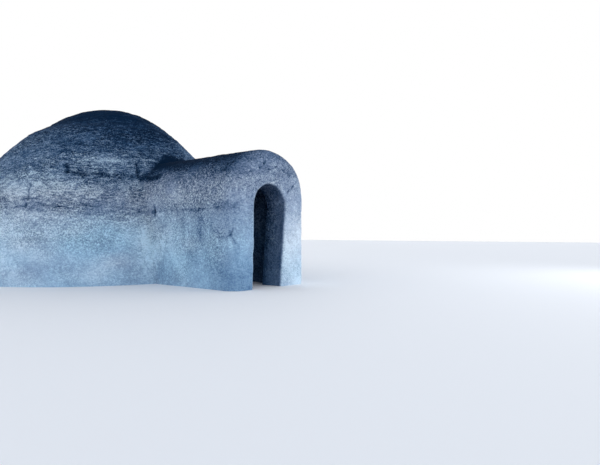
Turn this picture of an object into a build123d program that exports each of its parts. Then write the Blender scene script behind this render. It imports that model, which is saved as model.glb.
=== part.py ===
from build123d import *
from math import acos, asin, cos, radians, sin
import os

# A snow house: a domed chamber and a short vaulted entrance passage with an open arched doorway.
# Millimetres, Z up. The origin is on the ground in the middle of the footprint.
# The dome's axis is upright, the passage runs along -Y, and -X is on the left of someone going in.

# Dome, outside: a battered wall up to the first bed, then a flank arc and a crown arc that meet tangent
DOME_FOOT = 3450.0  # radius on the ground
DOME_HEIGHT = 4130.0
CROWN_RADIUS = 2250.0
CROWN_ANGLE = 32.6  # from the axis to the end of the crown arc, degrees
FLANK_RADIUS = 5500.0

# Thickness of the snow
SHELL = 400.0  # flank and crown, square to the face
FOOT_WALL = 520.0  # dome wall on the ground
PASSAGE_WALL = 430.0
PORTAL_WALL = 500.0  # front wall round the doorway

# Passage, outside: upright sides under a round vault
REACH = 5608.0  # dome's axis to the portal's face
PASSAGE_SHIFT = 100.0  # passage's middle plane, to the right of the dome's axis
PASSAGE_HALF = 1000.0
PASSAGE_HEIGHT = 2605.0
PORTAL_ROUND = 250.0  # outer edge of the portal

# Doorway: a round head on sides that draw in towards the ground, cut by hand and a little askew
DOOR_SHIFT = -62.0  # from the passage's middle plane, at the springing
DOOR_FOOT_SHIFT = -90.0  # further shift on the ground
DOOR_HALF = 417.0  # at the springing
DOOR_TAPER = 54.0  # each side comes in by this on the ground
DOOR_HEIGHT = 1920.0
DOOR_ROUND = 60.0  # worn edge of the opening

# Lifts of the dome: the upright wall, even lifts up the flank arc, one on the crown arc, and the crown block
WALL_TOP = 1430.0  # height of the first bed, which runs on along the passage
FLANK_LIFT_COUNT = 4
CROWN_BLOCK = 690.0  # radius
SEGMENT_COUNTS = [7, 5, 6, 5, 4, 3]
# Angle of each lift's first joint from the passage. In the first lifts, named below, the pieces
# over the passage reach to that joint on both sides.
JOINT_ANGLES = [26.0, 56.0, 47.0, 18.5, 50.0, 10.0]
JUNCTIONS = ["passage_cheek", "passage_shoulder", "dome_saddle"]
JUNCTION_REACH = 4200.0  # dome's axis to the joint between the junction and the passage

DOME_Y = (REACH - DOME_FOOT) / 2
FAR = 3 * REACH  # beyond every face
CROWN_Z = DOME_HEIGHT - CROWN_RADIUS
FLANK_X = (CROWN_RADIUS - FLANK_RADIUS) * sin(radians(CROWN_ANGLE))
FLANK_Z = CROWN_Z + (CROWN_RADIUS - FLANK_RADIUS) * cos(radians(CROWN_ANGLE))


def face_point(angle, depth=0.0):
    """Point at this depth under the dome's face, where the square to the face leans by angle (radians)."""
    if angle <= radians(CROWN_ANGLE):
        return (CROWN_RADIUS - depth) * sin(angle), CROWN_Z + (CROWN_RADIUS - depth) * cos(angle)
    return FLANK_X + (FLANK_RADIUS - depth) * sin(angle), FLANK_Z + (FLANK_RADIUS - depth) * cos(angle)


def bed_angles():
    """Lean of the square to the face at each bed, from the top of the wall to the crown block."""
    wall, crown = acos((WALL_TOP - FLANK_Z) / FLANK_RADIUS), radians(CROWN_ANGLE)
    steps = [wall + (crown - wall) * step / FLANK_LIFT_COUNT for step in range(FLANK_LIFT_COUNT + 1)]
    return steps + [asin(CROWN_BLOCK / CROWN_RADIUS)]


BEDS = bed_angles()


def face_run(index, depth):
    """Points along one lift at this depth, from its lower bed to its upper bed."""
    if index == 0:
        return [(DOME_FOOT - FOOT_WALL * depth / SHELL, 0.0), face_point(BEDS[0], depth)]
    low, high = BEDS[index - 1], BEDS[index] if index < len(BEDS) else 0.0
    points = [face_point(low, depth), face_point(high, depth)]
    if high < radians(CROWN_ANGLE):
        points.insert(1, face_point((low + high) / 2, depth))
    return points


def lift_section(index):
    """Half section of the snow in one lift. Its beds are square to the dome's face."""
    return make_face(Polyline(*face_run(index, 0.0), *reversed(face_run(index, SHELL)), close=True))


def dome_solid(depth):
    """Everything under the dome's face at this depth, down to the ground."""
    points = [(0.0, 0.0)]
    for index in range(len(BEDS) + 1):
        points += face_run(index, depth)[0 if index == 0 else 1:]
    return wedge(make_face(Polyline(*points, close=True)), 0, 360)


def wedge(section, start, turn):
    """The section turned about the dome's axis. Angle 0 is over the passage, and +X is at 90."""
    return Rot(Z=start - 90) * revolve(Plane.XZ * section, Axis.Z, turn)


def arch_face(half, height, taper=0.0, lean=0.0):
    """A round head on upright sides, or on sides that draw in and lean towards the ground."""
    spring = height - half
    return make_face([
        Line((lean + taper - half, 0), (lean + half - taper, 0)),
        Line((lean + half - taper, 0), (half, spring)),
        CenterArc((0, spring), half, 0, 180),
        Line((-half, spring), (lean + taper - half, 0)),
    ])


def tunnel(face, shift, start, length):
    """The face run out along -Y from a distance start in front of the dome's axis."""
    return Pos(PASSAGE_SHIFT + shift, -start, 0) * extrude(Plane.XZ * face, amount=length)


def portal_edges(solid, half):
    """Edges of the portal's face, off the ground, within a half width of the passage's middle."""
    edges = solid.edges().filter_by_position(Axis.Y, -REACH - 1, -REACH + 1)
    return edges.filter_by(lambda edge: edge.center().Z > 1 and abs(edge.center().X - PASSAGE_SHIFT) < half)


def shell_mass():
    """The whole shell in one piece: dome and passage, hollow, with the doorway cut through."""
    passage = tunnel(arch_face(PASSAGE_HALF, PASSAGE_HEIGHT), 0, 0, REACH)
    passage = fillet(portal_edges(passage, 2 * PASSAGE_HALF), PORTAL_ROUND)
    hollow = arch_face(PASSAGE_HALF - PASSAGE_WALL, PASSAGE_HEIGHT - PASSAGE_WALL)
    door = arch_face(DOOR_HALF, DOOR_HEIGHT, DOOR_TAPER, DOOR_FOOT_SHIFT)
    mass = dome_solid(0.0) + passage
    mass = mass - dome_solid(SHELL)
    mass = mass - tunnel(hollow, 0, 0, REACH - PORTAL_WALL)
    mass = mass - tunnel(door, DOOR_SHIFT, REACH - 2 * PORTAL_WALL, 3 * PORTAL_WALL)
    reveal = portal_edges(mass, DOOR_HALF + abs(DOOR_SHIFT) + abs(DOOR_FOOT_SHIFT))
    return fillet(reveal, DOOR_ROUND)


def bed_points(index):
    """The bed under a lift, from outside in: level in front of the dome, square to its face inside it."""
    if index == 0:
        return [(FAR, 0.0), (DOME_FOOT, 0.0), (DOME_FOOT - 2 * FOOT_WALL, 0.0)]
    face = face_point(BEDS[index - 1])
    return [(FAR, face[1]), face, face_point(BEDS[index - 1], 2 * SHELL)]


def side_space(side, low, high, near, far):
    """A box between two heights and two distances, on one side of the passage's middle or on both."""
    centre = Pos(PASSAGE_SHIFT + side * FAR / 2, -(near + far) / 2, (low + high) / 2)
    return centre * Box(FAR, far - near, high - low)


def solid_of(shape):
    """The one solid that a cut leaves, without crumbs."""
    return shape.solids().sort_by(SortBy.VOLUME)[-1]


def lift_pieces(index):
    """The plain segments of one lift, beside the passage or all the way round."""
    count, start = SEGMENT_COUNTS[index], JOINT_ANGLES[index]
    turn = (360 - 2 * start if index < len(JUNCTIONS) else 360) / count
    section = lift_section(index)
    return {f"dome_lift_{index + 1}_segment_{step + 1}": wedge(section, start + turn * step, turn)
            for step in range(count)}


def junction_pieces(mass):
    """Pieces where the passage grows out of the dome, one on each side in each of the first lifts."""
    pieces = {}
    for index, name in enumerate(JUNCTIONS):
        band = make_face(Polyline(*bed_points(index), *reversed(bed_points(index + 1)), close=True))
        space = mass & wedge(band, -JOINT_ANGLES[index], 2 * JOINT_ANGLES[index])
        for side, label in ((-1, "left"), (1, "right")):
            pieces[f"{name}_{label}"] = solid_of(space & side_space(side, 0, FAR, 0, JUNCTION_REACH))
    return pieces


def front_pieces(mass):
    """Passage walls and vault halves, then the portal: a jamb on each side and the arched head."""
    pieces = {}
    bed, front = WALL_TOP, REACH - PORTAL_WALL
    for side, label in ((-1, "left"), (1, "right")):
        pieces[f"passage_wall_{label}"] = mass & side_space(side, 0, bed, JUNCTION_REACH, front)
        pieces[f"passage_vault_{label}"] = mass & side_space(side, bed, FAR, JUNCTION_REACH, front)
        pieces[f"portal_jamb_{label}"] = mass & side_space(side, 0, bed, front, FAR)
    pieces["portal_head"] = mass & side_space(0, bed, FAR, front, FAR)
    return {name: solid_of(piece) for name, piece in pieces.items()}


def build():
    """Every piece by its name, moved from the dome's axis to the middle of the footprint."""
    pieces = {}
    for index in range(len(BEDS)):
        pieces.update(lift_pieces(index))
    pieces["crown_block"] = wedge(lift_section(len(BEDS)), 0, 360)
    mass = shell_mass()
    pieces.update(junction_pieces(mass))
    pieces.update(front_pieces(mass))
    return {name: Pos(0, DOME_Y, 0) * piece for name, piece in pieces.items()}


os.makedirs("parts", exist_ok=True)
for name, piece in build().items():
    export_step(piece, f"parts/{name}.step")
    print(name, round(piece.volume / 1e9, 3))
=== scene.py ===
"""Looks of a hand-built snow house: a tall dome and a vaulted entrance passage with an arched doorway.

Metres, Z up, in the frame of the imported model. The passage runs along -Y and ends in the portal.
Every block of snow is a piece of its own, carved by one relief that runs on over all the joints.
"""

import itertools
import logging
import math
from dataclasses import dataclass, field, replace
from enum import Enum
from typing import Callable

import bpy
import numpy as np
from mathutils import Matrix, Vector


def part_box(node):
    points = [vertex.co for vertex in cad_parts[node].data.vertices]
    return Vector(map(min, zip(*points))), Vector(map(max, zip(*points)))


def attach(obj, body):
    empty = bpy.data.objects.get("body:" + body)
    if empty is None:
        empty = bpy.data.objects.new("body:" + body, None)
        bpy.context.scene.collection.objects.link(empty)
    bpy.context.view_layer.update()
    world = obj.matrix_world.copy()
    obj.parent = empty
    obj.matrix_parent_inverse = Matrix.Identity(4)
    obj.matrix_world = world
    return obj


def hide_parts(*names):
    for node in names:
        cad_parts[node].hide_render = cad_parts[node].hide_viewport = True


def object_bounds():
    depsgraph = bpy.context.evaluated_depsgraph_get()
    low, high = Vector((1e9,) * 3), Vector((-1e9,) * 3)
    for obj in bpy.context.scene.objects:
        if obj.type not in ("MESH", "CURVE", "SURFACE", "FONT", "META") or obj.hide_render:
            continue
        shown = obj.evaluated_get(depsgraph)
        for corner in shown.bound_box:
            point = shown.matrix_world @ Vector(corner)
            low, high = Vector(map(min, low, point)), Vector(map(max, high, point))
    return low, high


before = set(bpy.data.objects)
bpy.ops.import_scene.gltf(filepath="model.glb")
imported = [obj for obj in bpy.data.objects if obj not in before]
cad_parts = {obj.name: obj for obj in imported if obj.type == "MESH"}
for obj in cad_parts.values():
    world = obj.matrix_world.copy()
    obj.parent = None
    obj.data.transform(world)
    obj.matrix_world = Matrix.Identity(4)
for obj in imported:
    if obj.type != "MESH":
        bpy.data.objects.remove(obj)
CAD_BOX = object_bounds()

TOUCH = 0.001  # metres within which a point counts as on a plane
MERGE = 0.0005  # metres within which doubled points become one
ANGLE_SLACK = 0.01  # radians by which an angle worked out from a box may be off
JOINT_STARTS = (26.0, 56.0, 47.0, 18.5, 50.0, 10.0)  # degrees from over the passage, lift by lift
JUNCTION_LIFTS = 3  # lifts that stop on both sides of the passage
CELL_KEYS = np.array([73856093, 19349663, 83492791], np.int64)  # scatter the cells of a grain
SEED_KEY, OCTAVE_KEY, STIR_KEY = 9781, 101, 1274126177  # tell seeds and octaves apart, and stir them
FINER = 2.03  # size of one octave beside the next

log = logging.getLogger("snow_house")

Points = np.ndarray
Values = np.ndarray
Pair = tuple[float, float]
Triple = tuple[float, float, float]


def smooth_step(values: Values, low: float, high: float) -> Values:
    """Ease from 0 at low to 1 at high.

    Args:
        values: Where to read it.
        low: Value that gives 0.
        high: Value that gives 1, above or below low.

    Returns:
        One share for each value.
    """
    share = np.clip((values - low) / (high - low), 0.0, 1.0)
    return share * share * (3.0 - 2.0 * share)


def bell(values: Values, width: float | Values) -> Values:
    """A rounded bump of height 1 at 0 that fades out over the width."""
    return np.exp(-((values / width) ** 2))


def away_from_line(points: Points, start: np.ndarray, end: np.ndarray) -> Values:
    """Distance from a straight line between two points.

    Args:
        points: Places, one row each.
        start: One end of the line.
        end: Its other end.

    Returns:
        One distance for each place.
    """
    run = end - start
    share = np.clip((points - start) @ run / (run @ run), 0.0, 1.0)
    return np.linalg.norm(points - start - share[:, None] * run, axis=1)


@dataclass(frozen=True)
class Bump:
    """A rounded groove or line of shade."""

    amount: float
    width: float

    def at(self, away: Values) -> Values:
        """The amount at each distance from its middle."""
        return self.amount * bell(away, self.width)


@dataclass(frozen=True)
class Grain:
    """A smooth random field in space from about -1 to 1, the same on every run."""

    size: Triple  # one lump of it along X, Y and Z
    seed: int
    octaves: int = 2
    scale: float = 1.0  # a place is multiplied by this
    shift: float = 0.0  # and then moved by this, before the field is read there
    depth: float = 0.0  # metres that a value of 1 stands for
    tone: float = 0.0  # tone that a value of 1 stands for

    def at(self, points: Points) -> Values:
        """Read the field.

        Args:
            points: Places, one row each.

        Returns:
            One value for each place.
        """
        places = (points * self.scale + self.shift) / np.array(self.size)
        total, weight, finer = np.zeros(len(points)), 1.0, 1.0
        for octave in range(self.octaves):
            total += weight * self._layer(places * finer, self.seed + OCTAVE_KEY * octave)
            weight, finer = weight * 0.5, finer * FINER
        return total

    def depth_at(self, points: Points) -> Values:
        """The field in metres, at each place."""
        return self.depth * self.at(points)

    def tone_at(self, points: Points) -> Values:
        """The field as a gain of tone, at each place."""
        return self.tone * self.at(points)

    @staticmethod
    def _layer(points: Points, seed: int) -> Values:
        """One octave of the field, one cell to a unit.

        Args:
            points: Places in cells.
            seed: Which field.

        Returns:
            One value from -1 to 1 for each place.
        """
        cell = np.floor(points)
        part = points - cell
        ease = part ** 3 * (part * (part * 6.0 - 15.0) + 10.0)
        cell = cell.astype(np.int64)
        total = np.zeros(len(points))
        for corner in itertools.product((0, 1), repeat=3):
            key = (cell + corner) @ CELL_KEYS + seed * SEED_KEY
            key = (key ^ (key >> 13)) * STIR_KEY
            value = ((key ^ (key >> 16)) & 0xFFFF) / 32767.5 - 1.0
            weight = np.prod(np.where(np.array(corner) == 1, ease, 1.0 - ease), axis=1)
            total += weight * value
        return total


def shifted(grain: Grain, shifts: Triple) -> tuple[Grain, ...]:
    """Three unlike fields for X, Y and Z: one grain, read in three places."""
    return tuple(replace(grain, shift=shift) for shift in shifts)


# Grains that the relief and the colouring read in more than one way
LUMPS = Grain((0.24, 0.24, 0.20), 11, depth=0.005)
CRUST = Grain((0.13, 0.13, 0.13), 29, depth=0.007)
PATCHES = Grain((0.45, 0.45, 0.35), 59, tone=0.05)
WARP = Grain((0.7, 0.7, 0.5), 23)


@dataclass(frozen=True)
class SnowForm:
    """The smooth forms that the blocks share: the outside, the hollow and the doorway."""

    axis_y: float
    foot: float  # radius of the dome on the ground
    height: float
    wall_top: float  # height of the first bed
    passage_x: float  # middle of the passage
    passage_half: float
    passage_top: float
    face_y: float  # front of the portal
    crown_radius: float = 2.25
    crown_angle: float = math.radians(32.6)  # from the axis to the end of the crown arc
    flank_radius: float = 5.5
    shell: float = 0.40
    foot_wall: float = 0.52
    passage_wall: float = 0.43
    portal_wall: float = 0.50
    portal_round: float = 0.25
    door_shift: float = -0.062
    door_lean: float = -0.090
    door_half: float = 0.417
    door_taper: float = 0.054
    door_height: float = 1.92

    @property
    def crown_z(self) -> float:
        """Height of the crown arc's centre."""
        return self.height - self.crown_radius

    @property
    def flank_centre(self) -> Pair:
        """Radius and height of the flank arc's centre."""
        offset = self.crown_radius - self.flank_radius
        return offset * math.sin(self.crown_angle), self.crown_z + offset * math.cos(self.crown_angle)

    @property
    def wall_radius(self) -> float:
        """Radius of the dome's face at the first bed."""
        x, z = self.flank_centre
        return x + math.sqrt(self.flank_radius ** 2 - (self.wall_top - z) ** 2)

    def lean_at(self, height: float) -> float:
        """How far the square to the dome's face leans.

        Args:
            height: A height above the wall.

        Returns:
            Angle from upright.
        """
        if height > self.crown_z + self.crown_radius * math.cos(self.crown_angle):
            return math.acos(min(1.0, (height - self.crown_z) / self.crown_radius))
        return math.acos((height - self.flank_centre[1]) / self.flank_radius)

    def face_point(self, lean: float, depth: float = 0.0) -> Pair:
        """Point at a depth under the dome's face.

        Args:
            lean: Angle from upright of the square to the face.
            depth: Depth square to the face.

        Returns:
            Radius and height.
        """
        if lean <= self.crown_angle:
            reach, x, z = self.crown_radius - depth, 0.0, self.crown_z
        else:
            reach, (x, z) = self.flank_radius - depth, self.flank_centre
        return x + reach * math.sin(lean), z + reach * math.cos(lean)

    def azimuth(self, points: Points) -> Values:
        """Degrees round the dome's axis from over the passage, towards +X."""
        return np.degrees(np.arctan2(points[:, 0], self.axis_y - points[:, 1]))

    def turned(self, points: Points, angle: float | Values) -> Points:
        """Turn places about the dome's axis.

        Args:
            points: Places, one row each.
            angle: Radians by which the azimuth grows, one for all places or one each.

        Returns:
            The turned places.
        """
        across, along = points[:, 0], points[:, 1] - self.axis_y
        sine, cosine = np.sin(angle), np.cos(angle)
        x, y = across * cosine - along * sine, self.axis_y + across * sine + along * cosine
        return np.stack([x, y, points[:, 2]], axis=1)

    def on_dome(self, azimuth: float, height: float) -> Triple:
        """Point of the dome's face.

        Args:
            azimuth: Degrees from over the passage.
            height: Height of the point.

        Returns:
            The point.
        """
        radius = self.foot - (self.foot - self.wall_radius) * height / self.wall_top
        if height > self.wall_top:
            radius = self.face_point(self.lean_at(height))[0]
        turn = math.radians(azimuth)
        return radius * math.sin(turn), self.axis_y - radius * math.cos(turn), height

    def dome(self, points: Points) -> Values:
        """Distance from the dome's face.

        Args:
            points: Places, one row each.

        Returns:
            Distances, above 0 outside the snow.
        """
        radius, z = np.hypot(points[:, 0], points[:, 1] - self.axis_y), points[:, 2]
        flank_x, flank_z = self.flank_centre
        crown = np.hypot(radius, z - self.crown_z) - self.crown_radius
        flank = np.hypot(radius - flank_x, z - flank_z) - self.flank_radius
        upper = np.where(np.arctan2(radius, z - self.crown_z) < self.crown_angle, crown, flank)
        batter = self.foot - self.wall_radius
        wall = radius - self.foot + batter * z / self.wall_top
        return np.where(z < self.wall_top, wall * math.cos(batter / self.wall_top), upper)

    def arch(self, points: Points, half: float, top: float) -> Values:
        """Distance from a round vault on upright sides over the passage's middle.

        Args:
            points: Places, one row each.
            half: Half width of the arch.
            top: Height of the arch.

        Returns:
            Distances, above 0 outside the arch.
        """
        side, spring = np.abs(points[:, 0] - self.passage_x), top - half
        return np.where(points[:, 2] < spring, side, np.hypot(side, points[:, 2] - spring)) - half

    def passage(self, points: Points) -> Values:
        """Distance from the outside of the passage, from its rounded front to the dome's axis.

        Args:
            points: Places, one row each.

        Returns:
            Distances, above 0 outside the snow.
        """
        across = self.arch(points, self.passage_half, self.passage_top) + self.portal_round
        along = np.maximum(self.face_y - points[:, 1], points[:, 1] - self.axis_y) + self.portal_round
        corner = np.hypot(np.maximum(across, 0.0), np.maximum(along, 0.0))
        return np.minimum(np.maximum(across, along), 0.0) + corner - self.portal_round

    def outside(self, points: Points) -> Values:
        """Distance from the whole outer face, above 0 outside."""
        return np.minimum(self.dome(points), self.passage(points))

    def hollow(self, points: Points) -> Values:
        """Distance from the faces of the chamber and the passage's inside.

        Args:
            points: Places, one row each.

        Returns:
            Distances, above 0 in the snow.
        """
        z = np.clip(points[:, 2], 0.0, self.wall_top) / self.wall_top
        shell = self.foot_wall + (self.shell - self.foot_wall) * z
        vault = self.arch(points, self.passage_half - self.passage_wall, self.passage_top - self.passage_wall)
        end = np.maximum(self.face_y + self.portal_wall - points[:, 1], points[:, 1] - self.axis_y)
        return np.minimum(self.dome(points) + shell, np.maximum(vault, end))

    def doorway(self, points: Points) -> Values:
        """Distance from the sides of the doorway, above 0 in the snow.

        Args:
            points: Places, one row each.

        Returns:
            Distances, and a long way where the place is behind the portal.
        """
        spring = self.door_height - self.door_half
        low = np.clip(1.0 - points[:, 2] / spring, 0.0, 1.0)
        side = np.abs(points[:, 0] - self.passage_x - self.door_shift - self.door_lean * low)
        above = np.maximum(points[:, 2] - spring, 0.0)
        across = np.hypot(side, above) - self.door_half + self.door_taper * low
        behind = points[:, 1] - self.face_y - self.portal_wall
        return np.where(behind > TOUCH, np.hypot(across, behind), across)

    @staticmethod
    def slope(distance: Callable[[Points], Values], points: Points, step: float = 0.004) -> Points:
        """Direction in which a distance grows.

        Args:
            distance: One of the forms above.
            points: Places, one row each.
            step: How far from each place the distance is read.

        Returns:
            Unit directions, one row each.
        """
        rows = [distance(points + step * axis) - distance(points - step * axis) for axis in np.eye(3)]
        slope = np.stack(rows, axis=1)
        return slope / np.maximum(np.linalg.norm(slope, axis=1), 1e-9)[:, None]


@dataclass(frozen=True)
class Course:
    """One ring of blocks round the dome, with the angles of its upright joints."""

    bottom: float
    top: float
    start: float  # degrees from over the passage to the first joint
    turn: float  # degrees a block takes
    count: int

    def joint_gap(self, azimuth: Values) -> Values:
        """Degrees from each azimuth to the nearest upright joint of the course.

        Args:
            azimuth: Degrees, one for each place.

        Returns:
            Degrees, never below 0.
        """
        joints = [self.start + self.turn * step for step in range(self.count + 1)]
        gaps = [np.abs((azimuth - joint + 180.0) % 360.0 - 180.0) for joint in joints]
        return np.min(gaps, axis=0)


@dataclass(frozen=True)
class Ledge:
    """A course that stands proud of the snow below it, along part of the dome."""

    start: float  # degrees
    end: float
    height: float
    rise: float  # height gained from start to end
    depth: float  # how far the snow below is set back
    drop: float  # height over which it comes forward again
    start_blur: float = 2.0  # degrees over which it comes out, on each side of the start
    end_blur: float = 3.0
    lip: Pair = (-0.012, 0.018)  # heights below its edge between which the face steps back

    def set_back(self, azimuth: Values, height: Values) -> Values:
        """How far the ledge sets the face back.

        Args:
            azimuth: Degrees, one for each place.
            height: Height of each place.

        Returns:
            Depth at each place.
        """
        share = (azimuth - self.start) / (self.end - self.start)
        ends = smooth_step(azimuth, self.start - self.start_blur, self.start + self.start_blur)
        ends = ends * smooth_step(azimuth, self.end + self.end_blur, self.end - self.end_blur)
        below = self.height + self.rise * np.clip(share, 0.0, 1.0) - height
        forward = np.exp(-np.maximum(below, 0.0) / self.drop)
        return self.depth * ends * smooth_step(below, *self.lip) * forward


@dataclass(frozen=True)
class Score:
    """A notch or scratch: a shallow groove between two points of the face."""

    start: Triple
    end: Triple
    width: float
    depth: float

    def set_back(self, points: Points) -> Values:
        """How far the groove sets the face back at each place."""
        away = away_from_line(points, np.array(self.start), np.array(self.end))
        return self.depth * bell(away, self.width)


@dataclass(frozen=True)
class Crack:
    """A thin crack across the dome's blocks, from one azimuth and height to another."""

    start: Pair
    end: Pair
    width: float
    depth: float
    ring: float = 3.1  # radius at which azimuths are measured out in metres

    def set_back(self, azimuth: Values, height: Values) -> Values:
        """How far the crack sets the face back.

        Args:
            azimuth: Degrees, one for each place.
            height: Height of each place.

        Returns:
            Depth at each place.
        """
        metres = np.array([math.radians(1.0) * self.ring, 1.0])
        flat = np.stack([azimuth, height], axis=1) * metres
        away = away_from_line(flat, np.array(self.start) * metres, np.array(self.end) * metres)
        return self.depth * bell(away, self.width)


@dataclass(frozen=True)
class Patch:
    """A paler or darker patch of the face, with soft ragged edges."""

    centre: Triple
    across: float  # half width on the level
    height: float  # half height
    amount: float  # tone gained, below 0 for a dark patch
    fray: float = 0.24  # how ragged its edge is
    edge: Pair = (1.40, 0.50)  # shares of its size between which it comes out

    def tone(self, points: Points, ragged: Values) -> Values:
        """The tone that the patch adds.

        Args:
            points: Places on the smooth form, one row each.
            ragged: A random value for each place, which frays the edge.

        Returns:
            Tone at each place.
        """
        x, y, z = self.centre
        across = np.hypot(points[:, 0] - x, points[:, 1] - y) / self.across
        away = np.hypot(across, (points[:, 2] - z) / self.height)
        return self.amount * smooth_step(away + self.fray * ragged, *self.edge)


@dataclass(frozen=True)
class Swelling:
    """A broad bulge or dent that the builders' hands left in the form."""

    centre: Triple
    reach: Triple  # along X, Y and Z
    depth: float  # how far the face is set back in the middle, below 0 for a bulge

    def set_back(self, points: Points) -> Values:
        """How far the swelling sets the face back at each place."""
        away = (points - np.array(self.centre)) / np.array(self.reach)
        return self.depth * bell(np.linalg.norm(away, axis=1), 1.0)


@dataclass(frozen=True)
class Fade:
    """How a value of the snow changes with height."""

    heights: tuple[float, ...]
    values: tuple[float, ...]

    def at(self, height: Values) -> Values:
        """The value at each height."""
        return np.interp(height, self.heights, self.values)


@dataclass(frozen=True)
class Valley:
    """The shade in the valley between dome and vault, deepest at its sheltered end."""

    least: float = 0.22  # tone lost where the valley lies open
    shelter: float = 0.98  # tone lost besides where it is sheltered
    shelter_edge: Pair = (-0.20, 0.10)  # X between which the shelter starts on the dome
    vault_lead: float = 0.40  # how much further to the left it starts on the vault
    reach: float = 0.22  # how far the shade reaches up the dome
    vault_reach: float = 0.22  # how much further it reaches on the vault
    vault_edge: Pair = (-0.75, -0.35)  # X between which that starts
    low: Pair = (2.0, 2.3)  # heights between which the shade starts
    high: Pair = (2.66, 2.88)  # heights between which it ends on the dome

    def loss(self, points: Points, away: Values, on_dome: Values) -> Values:
        """How much the valley darkens the snow.

        Args:
            points: Places on the smooth form, one row each.
            away: How far each place is from the line where dome and vault meet.
            on_dome: 0 on the vault to 1 on the dome, at each place.

        Returns:
            Loss of tone at each place.
        """
        x, height, on_vault = points[:, 0], points[:, 2], 1.0 - on_dome
        sheltered = smooth_step(x + self.vault_lead * on_vault, *self.shelter_edge)
        reach = self.reach + self.vault_reach * on_vault * smooth_step(x, *self.vault_edge)
        below = 1.0 - on_dome * smooth_step(height, *self.high)
        loss = (self.least + self.shelter * sheltered) * below * bell(away, reach)
        return loss * smooth_step(height, *self.low)


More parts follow.
